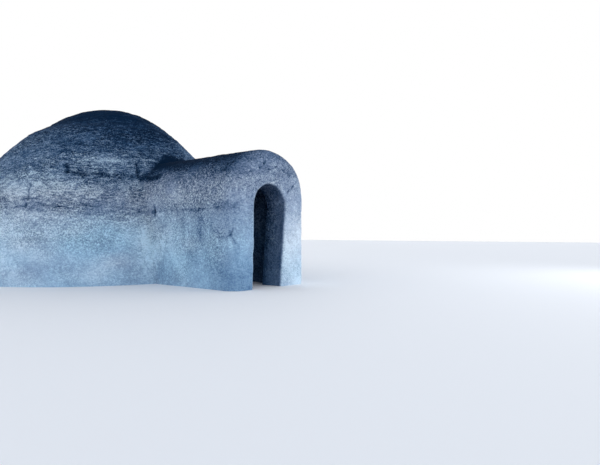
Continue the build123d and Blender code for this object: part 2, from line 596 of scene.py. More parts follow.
@dataclass
class Relief:
    """What hands, blades and wind left on the snow, as a depth over the shared forms."""

    form: SnowForm
    courses: list[Course]
    ledges: list[Ledge]
    scores: list[Score]
    cracks: list[Crack]
    swellings: list[Swelling]

    # Random fields
    swell: Grain = Grain((0.9, 0.9, 0.8), 3, depth=0.010)
    lumps: Grain = LUMPS
    wrinkles: Grain = Grain((0.24, 0.24, 0.095), 31, 3, depth=0.015)
    drifts: Grain = Grain((0.75, 0.75, 0.20), 83, depth=0.006, tone=0.05)
    crust: Grain = CRUST
    streaks: Grain = Grain((0.16, 0.16, 0.55), 47, depth=0.003, tone=0.04)
    pits: Grain = Grain((0.06, 0.06, 0.05), 67, 1, depth=0.002)
    seam_wear: Grain = replace(PATCHES, shift=5.0)
    crack_wear: Grain = replace(CRUST, scale=0.8, shift=6.0)
    bends: tuple[Grain, ...] = shifted(WARP, (7.0, 13.0, 0.0))  # layers waver with them
    coarse_frays: tuple[Grain, ...] = shifted(LUMPS, (3.0, 5.0, 8.0))  # notches and cracks waver with them
    fine_frays: tuple[Grain, ...] = shifted(CRUST, (3.0, 5.0, 8.0))

    # How deep they and the seams go, in metres
    skin: float = 0.003  # the whole outside is set back by this
    open_skin: float = 0.004  # and by this too, away from the portal's face
    front_calm: float = 0.85  # share of the broad relief that the portal's face lacks
    top_wear: float = 0.012  # set back on top of the dome
    top_heights: Pair = (3.6, 4.1)  # between which that wear starts
    joint_groove: Bump = Bump(0.006, 0.020)
    bed_groove: Bump = Bump(0.008, 0.022)
    seam_least: float = 0.15  # share of a seam's depth that is left where it is plastered over
    seam_range: Pair = (-0.5, 0.6)  # wear between which a seam comes out
    crack_range: Pair = (-0.55, 0.25)  # wear between which a crack comes out
    bend: Triple = (0.10, 0.10, 0.06)  # how far layers waver
    fray: float = 0.022  # how far notches and cracks waver
    fine_fray: float = 0.5  # the finer wavering beside the coarser
    inner_skin: float = 0.006  # the inside is set back by this
    inner_lumps: float = 0.006
    inner_swell: float = 0.004

    # Where each part of the snow ends
    depth_edge: Pair = (0.16, 0.04)  # depths in a block between which the relief comes out
    dome_edge: Pair = (-0.05, 0.10)  # how much nearer the dome's face is than the passage's
    front_edge: Pair = (0.50, 0.06)  # distances behind the portal's face
    layer_heights: Pair = (0.5, 1.9)  # between which the dome's crust turns into layers
    inside_edge: Pair = (0.006, 0.055)  # depths under the outer face

    # How the hidden sides repeat the shown one
    shown_end: float = 25.0  # azimuth at which the side that the photo shows ends
    parts: int = 2  # hidden parts of the dome
    part: float = 107.5  # degrees that each of them takes
    part_start: float = -100.0  # azimuth of the shown side at which what they repeat starts
    part_blend: float = 9.0  # degrees over which a part fades out at its ends
    mirror_edge: Pair = (0.30, 0.55)  # distances behind the portal's face at which the mirroring starts
    own_edge: Pair = (0.28, 0.10)  # and at which the portal's own marks come out

    def seen(self, points: Points) -> tuple[Points, Values]:
        """Where the side that the photo shows has what each place of the object repeats.

        Args:
            points: Places, one row each.

        Returns:
            The places on the shown side, and how strongly each one is repeated.
        """
        form, azimuth = self.form, self.form.azimuth(points)
        past, all_parts = (azimuth - self.shown_end) % 360.0, self.parts * self.part
        hidden = past < all_parts
        place = np.where(hidden, past % self.part, past - all_parts)
        width = np.where(hidden, self.part, 360.0 - all_parts)
        weight = smooth_step(place, 0.0, self.part_blend) * smooth_step(width - place, 0.0, self.part_blend)
        turn = np.where(hidden, self.part_start + place, azimuth) - azimuth
        turned = form.turned(points, np.radians(turn))
        back = points[:, 1] - form.face_y
        behind, ahead = smooth_step(back, *self.mirror_edge), smooth_step(back, *self.own_edge)
        right = points[:, 0] > form.passage_x
        mirrored = points.copy()
        mirrored[:, 0] = np.where(right & (behind > 0.0), 2.0 * form.passage_x - points[:, 0], points[:, 0])
        on_dome = self.on_dome(points) > 0.5
        share = np.where(right, np.maximum(behind, ahead), 1.0)
        return np.where(on_dome[:, None], turned, mirrored), np.where(on_dome, weight, share)

    def on_dome(self, points: Points) -> Values:
        """0 on the passage to 1 on the dome, at each place."""
        return smooth_step(self.form.passage(points) - self.form.dome(points), *self.dome_edge)

    def front(self, points: Points) -> Values:
        """0 on the passage to 1 on the portal's face, at each place."""
        return smooth_step(points[:, 1] - self.form.face_y, *self.front_edge)

    def layered(self, points: Points) -> Values:
        """How much the snow shows wind-cut layers and not an even crust, at each place."""
        return self.on_dome(points) * smooth_step(points[:, 2], *self.layer_heights)

    def inside(self, points: Points) -> Values:
        """0 on the outer face to 1 in the hollow and the doorway, at each place."""
        return smooth_step(-self.form.outside(points), *self.inside_edge)

    def bent(self, points: Points) -> Points:
        """The same places, shifted so that layers read there run unevenly."""
        return points + np.stack([grain.at(points) for grain in self.bends], axis=1) * self.bend

    def seams(self, points: Points) -> Values:
        """Depth of the worn seams between blocks.

        Args:
            points: Places on the outer face.

        Returns:
            Depth at each place.
        """
        azimuth, height = self.form.azimuth(points), points[:, 2]
        radius = np.hypot(points[:, 0], points[:, 1] - self.form.axis_y)
        present = smooth_step(self.seam_wear.at(points), *self.seam_range)
        depth = np.zeros(len(points))
        for course in self.courses:
            within = (height > course.bottom) & (height <= course.top)
            gap = np.radians(course.joint_gap(azimuth)) * radius
            depth = np.maximum(depth, np.where(within, self.joint_groove.at(gap), 0.0))
            depth = np.maximum(depth, self.bed_groove.at(height - course.top))
        return depth * (self.seam_least + (1.0 - self.seam_least) * present)

    def overhangs(self, points: Points) -> Values:
        """How far the face is set back under the courses that stand proud.

        Args:
            points: Places on the outer face.

        Returns:
            Depth at each place.
        """
        places, weight = self.seen(points)
        azimuth = self.form.azimuth(places)
        depth = sum(ledge.set_back(azimuth, points[:, 2]) for ledge in self.ledges)
        return weight * self.on_dome(points) * depth

    def cuts(self, points: Points) -> Values:
        """Depth of the notches, scratches and cracks, which waver and break off.

        Args:
            points: Places on the outer face.

        Returns:
            Depth at each place.
        """
        places, weight = self.seen(points)
        wave = [coarse.at(points) + self.fine_fray * fine.at(points)
                for coarse, fine in zip(self.coarse_frays, self.fine_frays)]
        frayed = places + self.fray * np.stack(wave, axis=1)
        azimuth, height = self.form.azimuth(frayed), frayed[:, 2]
        broken = smooth_step(self.crack_wear.at(points), *self.crack_range)
        depth = sum(crack.set_back(azimuth, height) for crack in self.cracks)
        depth = depth * self.on_dome(points) * broken
        return weight * (depth + sum(score.set_back(frayed) for score in self.scores))

    def outer_depth(self, points: Points) -> Values:
        """How far the outer face is set back from the smooth form.

        Args:
            points: Places on the outer face.

        Returns:
            Depth at each place, below 0 where it stands proud.
        """
        on_dome, layered, bent = self.on_dome(points), self.layered(points), self.bent(points)
        calm = 1.0 - self.front_calm * self.front(points)
        depth = self.skin + self.open_skin * calm
        depth += self.top_wear * smooth_step(points[:, 2], *self.top_heights)
        depth += calm * (self.swell.depth_at(points) + self.lumps.depth_at(points))
        depth += layered * (np.abs(self.wrinkles.depth_at(bent)) + self.drifts.depth_at(bent))
        depth += (1.0 - layered) * np.abs(self.crust.depth_at(bent))
        depth += (1.0 - on_dome) * self.streaks.depth_at(bent)
        depth += self.pits.depth_at(points)
        depth += sum(swelling.set_back(points) for swelling in self.swellings)
        return depth + self.seams(points) + self.overhangs(points) + self.cuts(points)

    def inner_depth(self, points: Points) -> Values:
        """How far the faces of the hollow and the doorway are set back, at each place."""
        uneven = self.inner_lumps * self.lumps.at(points) + self.inner_swell * self.swell.at(points)
        return self.inner_skin + uneven

    def carve(self, points: Points) -> Points:
        """Move the points of a block from the smooth forms to the carved snow.

        Args:
            points: Vertices of a block, one row each.

        Returns:
            The same vertices in their new places, with those on the ground still on it.
        """
        form, moved = self.form, points.copy()
        for distance, depth, sign in (
            (form.outside, self.outer_depth, -1.0),
            (form.hollow, self.inner_depth, 1.0),
            (form.doorway, self.inner_depth, 1.0),
        ):
            share = smooth_step(np.abs(distance(points)), *self.depth_edge)
            near = share > 0.0
            if near.any():
                push = sign * depth(points[near]) * share[near]
                moved[near] += push[:, None] * form.slope(distance, points[near])
        return np.where(points[:, 2:] < TOUCH, moved * [1, 1, 0], moved)


@dataclass
class Colouring:
    """The values that the materials read: how pale, how blue and how rough the snow is."""

    relief: Relief
    marks: list[Patch]

    # Painted light and shade by height: darker towards the top, where less light falls, and paler low down
    dome_shade_by_height: Fade = Fade((0.0, 0.6, 1.1, 1.42, 1.53, 1.7, 2.1, 2.4, 2.8, 3.3, 3.75, 4.0),
                           (0.78, 0.79, 0.81, 0.77, 0.71, 0.67, 0.60, 0.49, 0.40, 0.20, 0.00, -0.13))
    passage_shade_by_height: Fade = Fade((0.0, 0.8, 1.3, 1.7, 2.0, 2.2, 2.35, 2.5, 2.6),
                              (0.72, 0.71, 0.68, 0.69, 0.59, 0.40, 0.14, -0.05, -0.13))
    portal_shade_by_height: Fade = Fade((0.0, 0.3, 0.8, 1.2, 1.65, 2.05, 2.3, 2.6),
                             (0.58, 0.60, 0.75, 0.71, 0.60, 0.64, 0.61, 0.38))
    # Painted light: the portal is paler on its right side, most near the ground, where the light from the
    # right falls
    portal_side_light: Fade = Fade((0.0, 0.5, 1.2, 1.9, 2.3), (0.36, 0.28, 0.14, 0.05, 0.02))
    side_light_edge: Pair = (-0.45, 0.75)  # X between which the portal gains that painted light

    # Tone of seams, layers and rims, and the painted shade inside
    patches: Grain = PATCHES
    wrinkle_line: Bump = Bump(0.10, 0.16)
    crust_line: Bump = Bump(0.05, 0.16)
    door_rim: Bump = Bump(0.14, 0.05)
    ragged_crust: float = 0.7  # crust and pits beside lumps, in the edges of patches
    ragged_pits: float = 0.9
    valley: Valley = Valley()
    overhang_shade: float = 5.8  # tone lost for a metre of depth
    cut_shade: float = 13.0
    bed_wander: Grain = replace(WARP, scale=1.7, shift=3.0, depth=0.05)
    fine_wander: Grain = replace(LUMPS, shift=2.0, depth=0.018)
    bed_wear: Grain = replace(PATCHES, shift=9.0)
    bed_range: Pair = (-0.3, 0.8)  # wear between which a bed shows
    bed_least: float = 0.30  # share of a bed's shade that always shows
    bed_shade: Bump = Bump(0.05, 0.09)
    bed_line: Bump = Bump(0.13, 0.026)
    bed_shares: tuple[float, ...] = (1.0, 0.5, 0.5, 0.4, 0.3)  # how strongly each bed shows
    # Painted shade inside the doorway and the hollow, where little light reaches
    inside_tone: float = 0.385
    inside_lumps: float = 0.05
    inside_crust: float = 0.04
    reveal_start: float = 0.30  # distance behind the portal's face
    reveal_shade: float = 0.15  # painted shade: tone lost from there to the back of the portal
    deep_end: float = 1.4  # distance behind the portal's face
    deep_gain: float = 0.16  # tone gained from the back of the portal to there
    tone_range: Pair = (-0.35, 1.0)

    # Blue snow near the ground and on the dome's flank
    foot_blue: Pair = (1.9, 0.7)  # heights between which the blue comes out
    side_light_grey: Pair = (-0.4, 0.6)  # X between which the portal turns grey: painted light, whiter where the light from the right falls
    grey_least: float = 0.6  # how grey it is at its foot
    grey_heights: Pair = (0.4, 1.0)  # between which it turns all grey
    veil: Grain = Grain((0.9, 0.9, 0.6), 59, shift=166.5)  # the blue comes and goes with it
    veil_middle: float = 0.80
    veil_swing: float = 0.50
    flank_blue: float = 0.50
    flank_low: Pair = (1.6, 2.3)  # heights between which the flank's blue comes out
    flank_high: Pair = (3.9, 3.1)

    # Roughness of the crust by height
    dome_crunch: Fade = Fade((0.0, 0.5, 0.9, 1.5, 3.2, 4.0), (0.35, 0.40, 0.72, 1.24, 1.30, 0.60))
    passage_crunch: Fade = Fade((0.0, 0.6, 1.2, 2.6), (0.45, 0.68, 0.95, 1.25))
    portal_crunch: Fade = Fade((0.0, 1.4, 2.2), (0.30, 0.45, 0.92))
    crunch_patches: Grain = replace(PATCHES, shift=4.0)
    crunch_swing: float = 0.35

    def read(self, points: Points) -> dict[str, Values]:
        """Every value that the materials read.

        Args:
            points: Places on the smooth form, one row each.

        Returns:
            The values for each place, by the attribute's name.
        """
        relief = self.relief
        return {"tone": self.tone(points), "inside": relief.inside(points), "blue": self.blue(points),
                "crunch": self.crunch(points), "layered": relief.layered(points)}

    def blend(self, points: Points, dome: Values, passage: Values, portal: Values) -> Values:
        """Each part's own value at each place, with soft borders between the parts.

        Args:
            points: Places on the smooth form, one row each.
            dome: What it is on the dome.
            passage: What it is on the passage.
            portal: What it is on the portal's face.

        Returns:
            One value for each place.
        """
        entrance = passage + self.relief.front(points) * (portal - passage)
        return entrance + (dome - entrance) * self.relief.on_dome(points)

    def tone(self, points: Points) -> Values:
        """How pale the snow is at each place, with painted light and shade, from 0 on the darkest to 1 on the
        palest snow.

        Args:
            points: Places on the smooth form, one row each.

        Returns:
            One tone for each place.
        """
        relief, form, height = self.relief, self.relief.form, points[:, 2]
        places, weight = relief.seen(points)
        on_dome, layered, bent = relief.on_dome(points), relief.layered(points), relief.bent(points)
        right = smooth_step(points[:, 0], *self.side_light_edge)
        # painted light on the portal's right side
        portal = self.portal_shade_by_height.at(height) + right * self.portal_side_light.at(height)
        portal += (1.0 - right) * self.door_rim.at(form.doorway(points))
        # the fades by height paint shade towards the top and light near the ground
        tone = self.blend(points, self.dome_shade_by_height.at(height), self.passage_shade_by_height.at(height), portal)
        tone += self.patches.tone_at(points) + on_dome * relief.drifts.tone_at(bent)
        tone -= layered * self.wrinkle_line.at(relief.wrinkles.at(bent))
        tone -= (1.0 - layered) * self.crust_line.at(relief.crust.at(bent))
        tone += (1.0 - on_dome) * relief.streaks.tone_at(bent)
        ragged = self.ragged_crust * relief.crust.at(bent) + self.ragged_pits * relief.pits.at(points)
        ragged += relief.lumps.at(points)
        tone += weight * sum(mark.tone(places, ragged) for mark in self.marks)
        away = np.abs(form.passage(points)) + np.abs(form.dome(points))
        tone -= self.smear(points) + self.valley.loss(points, away, on_dome)
        tone -= self.overhang_shade * relief.overhangs(points) + self.cut_shade * relief.cuts(points)
        # the inside takes its painted shade
        tone += (self.inside_shade(points) - tone) * relief.inside(points)
        return np.clip(tone, *self.tone_range)

    def smear(self, points: Points) -> Values:
        """How much the broken seams between courses darken the snow round them.

        Args:
            points: Places on the smooth form, one row each.

        Returns:
            Loss of tone at each place.
        """
        present = smooth_step(self.bed_wear.at(points), *self.bed_range)
        wander = self.bed_wander.depth_at(points) + self.fine_wander.depth_at(points)
        loss = np.zeros(len(points))
        for course, share in zip(self.relief.courses[:-1], self.bed_shares):
            away = points[:, 2] - course.top - wander
            loss = np.maximum(loss, share * (self.bed_shade.at(away) + present * self.bed_line.at(away)))
        return loss * (self.bed_least + (1.0 - self.bed_least) * present)

    def inside_shade(self, points: Points) -> Values:
        """Painted shade of the snow inside, where little light reaches: darkest at the back of the doorway.

        Args:
            points: Places on the smooth form, one row each.

        Returns:
            One tone for each place.
        """
        relief, wall = self.relief, self.relief.form.portal_wall
        back = points[:, 1] - relief.form.face_y
        tone = self.inside_tone - self.reveal_shade * smooth_step(back, self.reveal_start, wall)
        tone += self.deep_gain * smooth_step(back, wall, self.deep_end)
        tone += self.inside_lumps * relief.lumps.at(points)
        return tone + self.inside_crust * relief.crust.at(points)

    def blue(self, points: Points) -> Values:
        """How blue the snow is, from 0 on the greyest to 1 near the ground.

        Args:
            points: Places on the smooth form, one row each.

        Returns:
            One share for each place.
        """
        relief, height = self.relief, points[:, 2]
        # painted light: the portal's right side is greyer, not blue
        right = relief.front(points) * smooth_step(points[:, 0], *self.side_light_grey)
        grey = self.grey_least + (1.0 - self.grey_least) * smooth_step(height, *self.grey_heights)
        share = smooth_step(height, *self.foot_blue) * (1.0 - right * grey)
        share *= self.veil_middle + self.veil_swing * self.veil.at(points)
        flank = smooth_step(height, *self.flank_low) * smooth_step(height, *self.flank_high)
        return np.clip(np.maximum(share, self.flank_blue * relief.on_dome(points) * flank), 0.0, 1.0)

    def crunch(self, points: Points) -> Values:
        """How strongly the crust is broken up at each place.

        Args:
            points: Places on the smooth form, one row each.

        Returns:
            One share for each place, about 1 on the roughest snow.
        """
        fades = (self.dome_crunch, self.passage_crunch, self.portal_crunch)
        share = self.blend(points, *(fade.at(points[:, 2]) for fade in fades))
        return share * (1.0 + self.crunch_swing * self.crunch_patches.at(points))


class Slot(Enum):
    """The record's finishes."""

    WALL = "wall_snow"
    PASSAGE = "passage_snow"
    CROWN = "crown_snow"


@dataclass(frozen=True)
class Pattern:
    """A stretched noise with strong contrast."""

    scale: Triple  # lumps to a metre along X, Y and Z
    detail: float  # octaves of finer noise
    distortion: float  # how much it is stirred
    half: float  # distance from 0.5 at which the contrast is full


@dataclass(frozen=True)
class SnowFinish:
    """Hand-packed snow: its colours by tone, and the grain of its crust."""

    name: str
    roughness: float = 0.85
    glaze: float = 0.55  # roughness of the snow that thawed and froze inside
    specular: float = 0.02
    flakes: Pattern = Pattern((8.0, 8.0, 25.0), 4.0, 0.7, 0.11)  # wind-cut layers
    crust: Pattern = Pattern((20.0, 20.0, 27.0), 4.0, 0.5, 0.12)
    grit: Pattern = Pattern((36.0, 36.0, 46.0), 3.0, 0.0, 0.12)
    break_up: float = 0.12  # tone lost and gained by the layers or the crust
    speckle: float = 0.17  # tone lost and gained by the grit
    relief: float = 0.020  # metres of bump
    body_relief: float = 0.6  # shares of it for the layers or the crust, and for the grit
    grit_relief: float = 0.3
    deep: Triple = (0.0016, 0.0130, 0.0380)
    dark: Triple = (0.027, 0.063, 0.132)
    middle: Triple = (0.112, 0.166, 0.272)
    light: Triple = (0.275, 0.352, 0.474)
    pale: Triple = (0.540, 0.640, 0.745)
    shade: Triple = (0.79, 1.02, 1.09)  # turns the snow near the ground blue

    def material(self) -> bpy.types.Material:
        """Build the procedural material.

        Returns:
            The material, with its patterns on object coordinates and on the carved values.
        """
        material = bpy.data.materials.new(self.name)
        material.use_nodes = True
        tree = Nodes(material.node_tree)
        place = tree.add("ShaderNodeTexCoord").outputs["Object"]
        names = ("tone", "inside", "blue", "crunch", "layered")
        tone, inside, blue, crunch, layered = (tree.attribute(name) for name in names)
        flakes, crust, grit = (tree.noise(place, pattern) for pattern in (self.flakes, self.crust, self.grit))
        body = tree.math("ADD", tree.scaled(tree.math("SUBTRACT", flakes, crust), layered), crust)
        swing = tree.math("ADD", tree.scaled(body, self.break_up), tree.scaled(grit, self.speckle))
        tone = tree.math("ADD", tone, tree.scaled(swing, crunch))
        colour = tree.ramp(tone, [self.deep, self.dark, self.middle, self.light, self.pale])
        height = tree.math("ADD", tree.scaled(body, self.body_relief), tree.scaled(grit, self.grit_relief))
        bump = tree.add("ShaderNodeBump")
        bump.inputs["Strength"].default_value = 1.0
        bump.inputs["Distance"].default_value = self.relief
        tree.link(tree.scaled(height, crunch), bump.inputs["Height"])
        shader = tree.shader
        glaze = tree.scaled(inside, self.glaze - self.roughness)
        tree.link(tree.math("ADD", glaze, self.roughness), shader.inputs["Roughness"])
        shader.inputs["Specular IOR Level"].default_value = self.specular
        tree.link(tree.tint(blue, colour, self.shade), shader.inputs["Base Color"])
        tree.link(bump.outputs["Normal"], shader.inputs["Normal"])
        return material


class Nodes:
    """Short ways to add the nodes of one material."""

    def __init__(self, tree: bpy.types.NodeTree) -> None:
        """Keep the tree and its shader."""
        self.tree = tree
        self.shader = tree.nodes["Principled BSDF"]

    def add(self, kind: str) -> bpy.types.Node:
        """Add a node of a kind."""
        return self.tree.nodes.new(kind)

    def link(self, source: bpy.types.NodeSocket, target: bpy.types.NodeSocket) -> None:
        """Join an output to an input."""
        self.tree.links.new(source, target)

    def attribute(self, name: str) -> bpy.types.NodeSocket:
        """Read a value that was stored on the mesh.

        Args:
            name: The attribute's name.

        Returns:
            The output with its value.
        """
        node = self.add("ShaderNodeAttribute")
        node.attribute_name = name
        return node.outputs["Fac"]

    def noise(self, place: bpy.types.NodeSocket, pattern: Pattern) -> bpy.types.NodeSocket:
        """A noise, stretched along the axes and in its contrast.

        Args:
            place: The coordinates it reads.
            pattern: Its sizes and contrast.

        Returns:
            The output with its value, from -1 to 1.
        """
        kinds = ("ShaderNodeMapping", "ShaderNodeTexNoise", "ShaderNodeMapRange")
        mapping, noise, contrast = (self.add(kind) for kind in kinds)
        mapping.inputs["Scale"].default_value = pattern.scale
        noise.inputs["Scale"].default_value = 1.0
        noise.inputs["Detail"].default_value = pattern.detail
        noise.inputs["Distortion"].default_value = pattern.distortion
        contrast.inputs["From Min"].default_value = 0.5 - pattern.half
        contrast.inputs["From Max"].default_value = 0.5 + pattern.half
        contrast.inputs["To Min"].default_value = -1.0
        contrast.inputs["To Max"].default_value = 1.0
        self.link(place, mapping.inputs["Vector"])
        self.link(mapping.outputs["Vector"], noise.inputs["Vector"])
        self.link(noise.outputs["Fac"], contrast.inputs["Value"])
        return contrast.outputs["Result"]

    def math(self, operation: str, first: bpy.types.NodeSocket,
             second: bpy.types.NodeSocket | float) -> bpy.types.NodeSocket:
        """A sum, product or difference of two values.

        Args:
            operation: Blender's name for it.
            first: An output.
            second: An output or a number.

        Returns:
            The output with the result.
        """
        node = self.add("ShaderNodeMath")
        node.operation = operation
        self.link(first, node.inputs[0])
        if isinstance(second, bpy.types.NodeSocket):
            self.link(second, node.inputs[1])
        else:
            node.inputs[1].default_value = second
        return node.outputs[0]

    def scaled(self, value: bpy.types.NodeSocket,
               factor: bpy.types.NodeSocket | float) -> bpy.types.NodeSocket:
        """A value multiplied by another output or a number."""
        return self.math("MULTIPLY", value, factor)

    def ramp(self, value: bpy.types.NodeSocket, colours: list[Triple]) -> bpy.types.NodeSocket:
        """Colours by value, evenly from 0 to 1.

        Args:
            value: The output to read.
            colours: The colours in order.

        Returns:
            The output with the colour.
        """
        node = self.add("ShaderNodeValToRGB")
        stops = node.color_ramp.elements
        while len(stops) < len(colours):
            stops.new(0.5)
        for index, colour in enumerate(colours):
            stops[index].position = index / (len(colours) - 1)
            stops[index].color = (*colour, 1.0)
        self.link(value, node.inputs["Fac"])
        return node.outputs["Color"]

    def tint(self, share: bpy.types.NodeSocket, colour: bpy.types.NodeSocket,
             tint: Triple) -> bpy.types.NodeSocket:
        """A colour multiplied by a tint.

        Args:
            share: How much of the tint.
            colour: The output with the colour.
            tint: The tint.

        Returns:
            The output with the tinted colour.
        """
        node = self.add("ShaderNodeMix")
        node.data_type, node.blend_type = "RGBA", "MULTIPLY"
        self.link(share, node.inputs["Factor"])
        self.link(colour, node.inputs["A"])
        node.inputs["B"].default_value = (*tint, 1.0)
        return node.outputs["Result"]


class Bench:
    """Modelling steps that every block goes through."""

    @staticmethod
    def clear_selection() -> None:
        """Leave nothing selected."""
        bpy.ops.object.select_all(action="DESELECT")

    @classmethod
    def take(cls, piece: bpy.types.Object) -> None:
        """Select one piece alone and make it the active one.

        Args:
            piece: The piece.
        """
        cls.clear_selection()
        piece.select_set(True)
        bpy.context.view_layer.objects.active = piece

    @staticmethod
    def open_mesh() -> None:
        """Go into edit mode with the whole mesh selected."""
        bpy.ops.object.mode_set(mode="EDIT")
        bpy.ops.mesh.select_all(action="SELECT")

    @staticmethod
    def close_mesh() -> None:
        """Turn the faces outwards and leave edit mode."""
        bpy.ops.mesh.normals_make_consistent(inside=False)
        bpy.ops.object.mode_set(mode="OBJECT")

    @classmethod
    def ring(cls, name: str, corners: list[Triple]) -> bpy.types.Object:
        """A closed loop of edges laid along a section.

        Args:
            name: The piece's name.
            corners: Points of the section in order.

        Returns:
            The piece, active and selected.
        """
        cls.clear_selection()
        bpy.ops.mesh.primitive_circle_add(vertices=len(corners), fill_type="NOTHING")
        piece = bpy.context.object
        piece.name = piece.data.name = name
        piece.data.vertices.foreach_set("co", np.array(corners, np.float32).ravel())
        return piece

    @staticmethod
    def read(piece: bpy.types.Object) -> Points:
        """Read the places of a piece's vertices.

        Args:
            piece: The piece.

        Returns:
            The places, one row each.
        """
        flat = np.zeros(len(piece.data.vertices) * 3, np.float32)
        piece.data.vertices.foreach_get("co", flat)
        return flat.reshape(-1, 3).astype(float)

    @staticmethod
    def write(piece: bpy.types.Object, points: Points) -> None:
        """Put a piece's vertices in these places."""
        piece.data.vertices.foreach_set("co", points.astype(np.float32).ravel())
        piece.data.update()

    @staticmethod
    def store(piece: bpy.types.Object, name: str, values: Values) -> None:
        """Keep one value for each vertex, for the materials to read."""
        attribute = piece.data.attributes.new(name, "FLOAT", "POINT")
        attribute.data.foreach_set("value", values.astype(np.float32))


@dataclass
class Workshop:
    """Finishes blocks: carves them, dresses them and puts them in their node's place."""

    relief: Relief
    colouring: Colouring
    materials: dict[str, bpy.types.Material]
    crease: float = math.radians(45.0)  # sharper edges stay sharp
    made: list[str] = field(default_factory=list)

    def finish(self, piece: bpy.types.Object, node: str, finish: str, slot: Slot) -> None:
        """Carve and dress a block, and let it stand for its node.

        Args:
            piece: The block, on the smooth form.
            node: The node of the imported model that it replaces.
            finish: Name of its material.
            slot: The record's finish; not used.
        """
        points = Bench.read(piece)
        for name, values in self.colouring.read(points).items():
            Bench.store(piece, name, values)
        carved = self.relief.carve(points)
        Bench.write(piece, np.clip(carved, np.array(CAD_BOX[0]), np.array(CAD_BOX[1])))
        piece.data.materials.clear()
        piece.data.materials.append(self.materials[finish])
        Bench.take(piece)
        bpy.ops.object.shade_smooth_by_angle(angle=self.crease)
        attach(piece, "root")
        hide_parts(node)
        self.made.append(piece.name)
        log.info("%s: %d faces, for %s", piece.name, len(piece.data.polygons), node)


